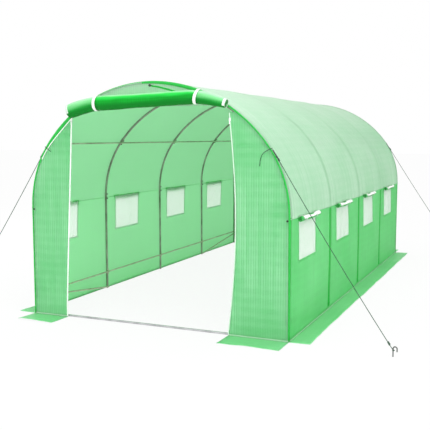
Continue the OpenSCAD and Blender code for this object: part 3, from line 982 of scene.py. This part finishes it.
for side, side_name in SIDES.items():
    shape = bmesh.new()
    edge_y, edge_z = window_half + BIND_WIDE / 2 - BIND_LAP, window_tall / 2 + BIND_WIDE / 2 - BIND_LAP
    for place in window_places:
        for lift in (-edge_z, edge_z):
            y = np.linspace(place - edge_y - BIND_WIDE / 2, place + edge_y + BIND_WIDE / 2, 13)
            wall_strip(shape, side, y, window_mid + lift, LEVEL_OUT, UP, BIND_WIDE, BIND_THICK)
        for shift in (-edge_y, edge_y):
            z = np.linspace(window_mid - edge_z, window_mid + edge_z, 9)
            wall_strip(shape, side, place + shift, z, UPRIGHT_OUT, ALONG, BIND_WIDE, BIND_THICK)
    piece_from(f"{side_name}_window_binding", shape, [wall_outside])

    straps = bmesh.new()
    for number, place in enumerate(window_places, 1):
        reach = np.linspace(-flap_half, flap_half, 41) * side
        sag = FLAP_SAG * (1 - (reach / flap_half) ** 2) + FLAP_SWAY * np.sin(5 * reach / flap_half + number)
        path = np.stack([np.full_like(reach, side * flap_x), place + reach, flap_z - sag], axis=1)
        pinches = (flap_half - STRAP_OFF, flap_half + STRAP_OFF)
        grid, cloth_uv = wound(path, (-side, 0, 0), flap_r - 0.0005, np.ones(len(path)), FLAP_PITCH,
                               FLAP_TURNS, 20, FLAP_LEAD, pinches, 90.0 + 5 * number + side)
        stands_for = [f"{side_name}_window_rolls"] if number == 1 else []
        flap = thin_sheet(f"{side_name}_flap_{number}", grid, cloth_uv, [flap_green] * 2 + [white_tape],
                          stands_for, thick=FLAP_THICK)
        for face in flap.data.polygons:
            out, rise = abs(face.center.x) - flap_x, face.center.z - flap_z
            # Faces on the top and outer side of the roll, over most of its length, are white.
            on_top = rise > -0.2 * flap_r and out > -0.012 and math.hypot(out, rise) > flap_r * 0.64
            in_white_span = WHITE_FROM < (face.center.y - place) / flap_half < WHITE_TO
            if face.material_index == 0 and on_top and in_white_span:
                face.material_index = WHITE_TOP
        for shift in (-STRAP_OFF, STRAP_OFF):
            arc = arc_points(flap_x, flap_z - STRAP_SLACK, flap_r * DRAWN_IN, 165, -165, 30)
            line = [(half_w, flap_z + STRAP_TOP)] + arc
            line = [(side * max(a, half_w + 0.0015), place + shift, b) for a, b in line]
            ribbon(straps, line, ALONG, STRAP_WIDE, STRAP_THICK)
    piece_from(f"{side_name}_flap_straps", straps, [white_tape])


# The ground flaps: strips of film joined to the foot of the cover and spread out flat, to
# be weighed down. Each has a turned hem on its outer edge, lies in waves and ends unevenly.
GROUND_CLEAR = 0.0018
GROUND_WAVE = 0.011
WAVE_STEP = 0.035
TURNED_HEM = 0.0012
TURNED_FROM, TURNED_EASE = 0.86, 0.06
EDGE_UNEVEN = 0.006
side_flap_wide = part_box("right_skirt")[1].x - half_w
end_flap_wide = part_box("rear_skirt")[1].y - half_l
ground_green = woven_film("ground_green", (164, 240, 180), (112, 216, 136), (172, 240, 186),
                          (0.6, 1.0, 0.68), 0.3)


def ground_flap(place, start, along, out, length, seed):
    """Flap laid out flat: start is its inner corner, along and out are its two directions."""
    start, along, out = (np.asarray(v, float) for v in (start, along, out))
    wide, slot = (side_flap_wide, "wall_sheet") if out[0] else (end_flap_wide, "end_sheet")
    steps = max(9, int(length / WAVE_STEP))
    reach, gone = np.meshgrid(np.linspace(0, 1, 13), np.linspace(0, 1, steps), indexing="ij")
    points = start + (reach * wide)[:, :, None] * out + (gone * length)[:, :, None] * along
    wave = cloth_noise(points, (3.2, 3.2, 1), seed) + 0.45 * cloth_noise(points, (9.0, 9.0, 1), seed + 6)
    wave = np.clip(wave + 0.1, 0, 2) * reach ** 0.8 * np.clip(np.sin(np.pi * gone) * 6, 0.5, 1)
    hem_rise = np.clip((reach - TURNED_FROM) / TURNED_EASE, 0, 1) * TURNED_HEM
    points[:, :, 2] = GROUND_CLEAR + GROUND_WAVE * wave + hem_rise
    uneven = (cloth_noise(points, (4.0, 4.0, 1), seed + 2) - 1) * EDGE_UNEVEN * reach ** 2
    points += uneven[:, :, None] * out
    cloth_uv = np.stack([gone * length, reach * wide], axis=2)
    if np.cross(out, along)[2] < 0:
        points, cloth_uv = points[:, ::-1], cloth_uv[:, ::-1]
    flap = thin_sheet(f"{place}_ground_flap", points, cloth_uv, [ground_green, ground_green],
                      [f"{place}_skirt"])


panel_wide = half_w - door_half
ground_flap("right", (half_w, -half_l, 0), ALONG, (1, 0, 0), 2 * half_l, 101.0)
ground_flap("left", (-half_w, -half_l, 0), ALONG, (-1, 0, 0), 2 * half_l, 113.0)
ground_flap("front_right", (door_half - RIGHT_DRAW, -half_l, 0), ACROSS, (0, -1, 0),
            panel_wide + RIGHT_DRAW, 127.0)
ground_flap("front_left", (-half_w, -half_l, 0), ACROSS, (0, -1, 0), panel_wide - LEFT_LEAN, 131.0)
ground_flap("rear", (-half_w, half_l, 0), ACROSS, (0, 1, 0), 2 * half_w, 139.0)


# Foot seams: a pale strip along the seam where each ground flap joins the cover, its pale
# colour a painted highlight along the joint. It is a narrow strip of film that stands on edge
# against the foot of the sheet.
WELD_TALL = 0.010
WELD_THICK = 0.0016
WELD_OUT = 0.0030
WELD_RISE = 0.0085
WELD_WAVE = 0.0012
WELD_SHORT = 0.01
# Painted highlight: the strip's pale colour stands for the light along the joint.
seam_painted_highlight = woven_film("seam_painted_highlight", (206, 243, 213), (186, 236, 197), (216, 244, 221),
                       (0.8, 1.0, 0.84), 0.45)
shape = bmesh.new()
long_run = np.linspace(-half_l + WELD_SHORT, half_l - WELD_SHORT, 60)
for side in SIDES:
    rise = WELD_RISE + WELD_WAVE * np.sin(7 * long_run + side)
    line = np.stack([np.full_like(long_run, side * (half_w + WELD_OUT)), long_run, rise], axis=1)
    ribbon(shape, line, UP, WELD_TALL, WELD_THICK)
for first, last, end in ((-half_w, -door_half - LEFT_LEAN, -1), (door_half - RIGHT_DRAW, half_w, -1),
                         (-half_w, half_w, 1)):
    line = [(x, end * (half_l + WELD_OUT), WELD_RISE) for x in np.linspace(first, last, 20)]
    ribbon(shape, line, UP, WELD_TALL, WELD_THICK)
piece_from("foot_seams", shape, [seam_painted_highlight])


# The guy ropes: three-strand cord from a webbing tab at each haunch of the end hoops to a
# steel peg, tied at the top with a short tail and looped round the peg below.
STRAND_R = 0.0016
STRAND_LAY = 0.034
CORD_R = 0.0026
CAD_CORD_R = 0.003
KNOT_R = 0.0028
COIL_R = 0.0058
EYE_R = 0.012
PEG_LOOP_R = 0.0075
PEG_R = 0.0045
PEG_BEYOND = 0.004
ROPE_SAG = 0.02
TAB_LONG = 0.075
TAB_WIDE = 0.025
TAB_THICK = 0.002
TAIL = [(0.006, 0.010, 0.006), (-0.004, 0.026, 0.002), (-0.030, 0.034, -0.012),
        (-0.066, 0.034, -0.036), (-0.082, 0.032, -0.075), (-0.088, 0.030, -0.130)]
TAIL_POINTS = {-1: 4, 1: 6}
rope_low, rope_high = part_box("rear_right_guy")
guy_high = np.array([rope_low.x + CAD_CORD_R, hoop_places[-1], rope_high.z - CAD_CORD_R])
peg_place = np.array([rope_high.x + PEG_BEYOND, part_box("guy_pegs")[1].y - PEG_R, rope_low.z + CAD_CORD_R])
refinish("guy_pegs", zinc("peg_zinc", (120, 124, 120), (74, 78, 74), 0.45))


def scuffed(name, scale, detail, low, high, first, second, strength, distance, rough):
    """Matt stuff in two tones that follow its own fine relief. low and high are where the
    first tone ends and the second is full."""
    material, tree = blank_material(name)
    scuff = mottle(tree, add(tree, "TexCoord").outputs["Object"], scale, detail)
    tone = blend_colours(tree, set_range(tree, scuff, low, high), paint(*first), paint(*second))
    stuff = add(tree, "BsdfPrincipled", Base_Color=tone, Roughness=rough,
                Normal=raised(tree, scuff, strength, distance))
    show(tree, stuff.outputs["BSDF"])
    return material


def tube(shape, line, radius, sides=7):
    """Round cord along a line of points."""
    line = np.asarray(line, float)
    ways = np.gradient(line, axis=0)
    ways /= np.maximum(np.linalg.norm(ways, axis=1, keepdims=True), 1e-9)
    across = Vector(ways[0]).orthogonal().normalized()
    angles = [2 * math.pi * k / sides for k in range(sides)]
    rings = []
    for point, way in zip(line, ways):
        way = Vector(way)
        across = (across - way * across.dot(way)).normalized()
        up = way.cross(across)
        rings.append([shape.verts.new(Vector(point) + radius * (across * math.cos(a) + up * math.sin(a)))
                      for a in angles])
    for low, high in zip(rings, rings[1:]):
        for k in range(sides):
            shape.faces.new((low[k - 1], low[k], high[k], high[k - 1]))
    shape.faces.new(rings[0][::-1])
    shape.faces.new(rings[-1])


def laid_rope(shape, line, step=0.004):
    """Three strands laid round each other along a line of points."""
    gone = np.concatenate([[0], np.cumsum(np.linalg.norm(np.diff(line, axis=0), axis=1))])
    marks = np.linspace(0, gone[-1], max(6, int(gone[-1] / step)))
    middle = np.stack([np.interp(marks, gone, line[:, k]) for k in range(3)], axis=1)
    way = (middle[-1] - middle[0]) / np.linalg.norm(middle[-1] - middle[0])
    across = np.cross(way, (0, 0, 1.0) if abs(way[2]) < 0.9 else (1.0, 0, 0))
    across /= np.linalg.norm(across)
    up = np.cross(way, across)
    for strand in range(3):
        turn = 2 * np.pi * (marks / STRAND_LAY + strand / 3)[:, None]
        tube(shape, middle + STRAND_R * (np.cos(turn) * across + np.sin(turn) * up), STRAND_R, 6)


cord_green = scuffed("cord_green", 260.0, 3.0, 0.3, 0.7, (72, 112, 86), (36, 64, 48),
                     0.4, 0.0005, 0.8)
dark_plastic = scuffed("dark_plastic", 180.0, 4.0, 0.4, 0.75, (38, 52, 42), (70, 86, 74),
                       0.2, 0.0004, 0.5)
share = np.linspace(0, 1, 40)[:, None]
eye = np.linspace(0, 2 * np.pi, 30)[:, None]
coil = np.linspace(0, 2 * np.pi * 4, 60)[:, None]
for end, end_name in ENDS.items():
    for side, side_name in SIDES.items():
        flip = np.array([side, end, 1.0])
        top, foot = guy_high * flip, peg_place * flip
        pull = (foot - top) / np.linalg.norm(foot - top)
        across = np.cross(pull, UP)
        across /= np.linalg.norm(across)
        up = np.cross(across, pull)
        start = top + pull * TAB_LONG
        shape = bmesh.new()
        straight = start + (foot - pull * 0.012 - start) * share
        laid_rope(shape, straight - np.array([0, 0, ROPE_SAG]) * 4 * share * (1 - share))
        for origin, length in ((start + pull * 0.012, 0.022), (foot - pull * 0.075, 0.028)):
            knot = origin + pull * length * coil / coil[-1]
            tube(shape, knot + COIL_R * (np.cos(coil) * across + np.sin(coil) * up), KNOT_R)
        tube(shape, start - pull * 0.004 + EYE_R * (np.cos(eye) * pull + np.sin(eye) * across), CORD_R)
        loop = np.cos(eye) * np.array(ACROSS) + np.sin(eye) * np.array(ALONG)
        tube(shape, foot + PEG_LOOP_R * loop + np.array([0, 0, 0.004]), CORD_R)
        tail = top + flip * np.array(TAIL[:TAIL_POINTS[side]])
        for _ in range(3):
            near_first = tail[:-1] * 0.75 + tail[1:] * 0.25
            near_second = tail[:-1] * 0.25 + tail[1:] * 0.75
            cut = np.stack([near_first, near_second], axis=1).reshape(-1, 3)
            tail = np.concatenate([tail[:1], cut, tail[-1:]])
        laid_rope(shape, tail)
        tab = [top + pull * reach for reach in (0.006, 0.03, 0.055, TAB_LONG)]
        ribbon(shape, tab, across, TAB_WIDE, TAB_THICK, slot=1)
        piece_from(f"{end_name}_{side_name}_guy_rope", shape, [cord_green, dark_plastic],
                   [f"{end_name}_{side_name}_guy"], smooth=True)


# Small dark plastic parts at both ends: the plug on the end of the ridge tube and the
# press buttons that hold the hem to the end hoops at the eaves.
PLUG = [(0.010, 0), (0.010, 0.008), (0.008, 0.012), (0.003, 0.014)]
BUTTON = [(0.008, 0), (0.008, 0.003), (0.006, 0.006), (0.002, 0.0068)]
PLUG_OUT = 0.002
BUTTON_IN, BUTTON_OUT, BUTTON_DROP = 0.022, 0.0035, 0.025
shape = bmesh.new()
for end in ENDS:
    turned(shape, (0, end * (half_l + PLUG_OUT), plug_z), (0, end, 0), PLUG, 24)
    for side in SIDES:
        button_place = (side * (half_w - BUTTON_IN), end * (half_l + BUTTON_OUT), eave_z - BUTTON_DROP)
        turned(shape, button_place, (0, end, 0), BUTTON, 24)
piece_from("plugs_and_buttons", shape, [dark_plastic])


# Floor, light and camera: a pale studio with soft light from all round, a broad lamp over
# the front right, and weaker ones in front and on the left, seen from the front right at
# head height.
FLOOR_HALF = 60
FLOOR_UNDER = 0.001
FLOOR_WHITE = 0.9
LENS = 60.9
EYE_PLACE = (2.817, -7.547, 1.564)
LOOK_DOWN, LOOK_LEFT = 6.18, 23.47
LAMPS = [("broad_lamp", 6.0, 290.0, (4.5, -5.0, 7.5), (0, 0, 0.8)),
         ("front_fill", 5.0, 170.0, (0.8, -10.5, 2.6), (-0.4, 0, 0.9)),
         ("left_fill", 5.0, 130.0, (-8.5, -0.5, 3.2), (-1, 0, 1.0))]
scene = bpy.context.scene
camera_data = bpy.data.cameras.new("camera")
camera_data.lens = LENS
camera_data.sensor_width = 36.0
camera = bpy.data.objects.new("camera", camera_data)
camera.location = EYE_PLACE
camera.rotation_euler = (math.radians(90 - LOOK_DOWN), 0, math.radians(LOOK_LEFT))
scene.collection.objects.link(camera)
scene.camera = camera


def seen_by(tree, *rays):
    """1 for the kinds of ray that are named, 0 for others."""
    kinds = add(tree, "LightPath").outputs
    seen = kinds[rays[0]]
    for ray in rays[1:]:
        seen = work_out(tree, "MAXIMUM", seen, kinds[ray])
    return seen


floor_material, tree = blank_material("studio_floor")
seen = work_out(tree, "MULTIPLY", seen_by(tree, "Is Camera Ray", "Is Glossy Ray"), FLOOR_WHITE)
ground = add(tree, "BsdfDiffuse", Color=(0.82, 0.82, 0.82, 1))
white = add(tree, "Emission", Color=(1, 1, 1, 1), Strength=1.0)
show(tree, mixed(tree, seen, ground, white))
corners = [(-1, -1), (1, -1), (1, 1), (-1, 1)]
floor_mesh = bpy.data.meshes.new("floor")
floor_mesh.from_pydata([(x * FLOOR_HALF, y * FLOOR_HALF, 0) for x, y in corners], [], [(0, 1, 2, 3)])
floor_mesh.materials.append(floor_material)
floor = bpy.data.objects.new("floor", floor_mesh)
floor.location.z = -FLOOR_UNDER
scene.collection.objects.link(floor)

scene.world = bpy.data.worlds.new("studio")
scene.world.use_nodes = True
tree = scene.world.node_tree
tree.nodes.clear()
seen = seen_by(tree, "Is Camera Ray", "Is Glossy Ray", "Is Transmission Ray")
soft_sky = add(tree, "Background", Color=(1, 1, 1, 1), Strength=1.02)
white_sky = add(tree, "Background", Color=(1, 1, 1, 1), Strength=1.0)
tree.links.new(mixed(tree, seen, soft_sky, white_sky), add(tree, "OutputWorld").inputs["Surface"])

for name, size, power, place, aim in LAMPS:
    lamp_data = bpy.data.lights.new(name, "AREA")
    lamp_data.size = size
    lamp_data.energy = power
    lamp = bpy.data.objects.new(name, lamp_data)
    lamp.location = place
    lamp.rotation_euler = (Vector(aim) - lamp.location).to_track_quat("-Z", "Y").to_euler()
    scene.collection.objects.link(lamp)
scene.view_settings.view_transform = "Standard"
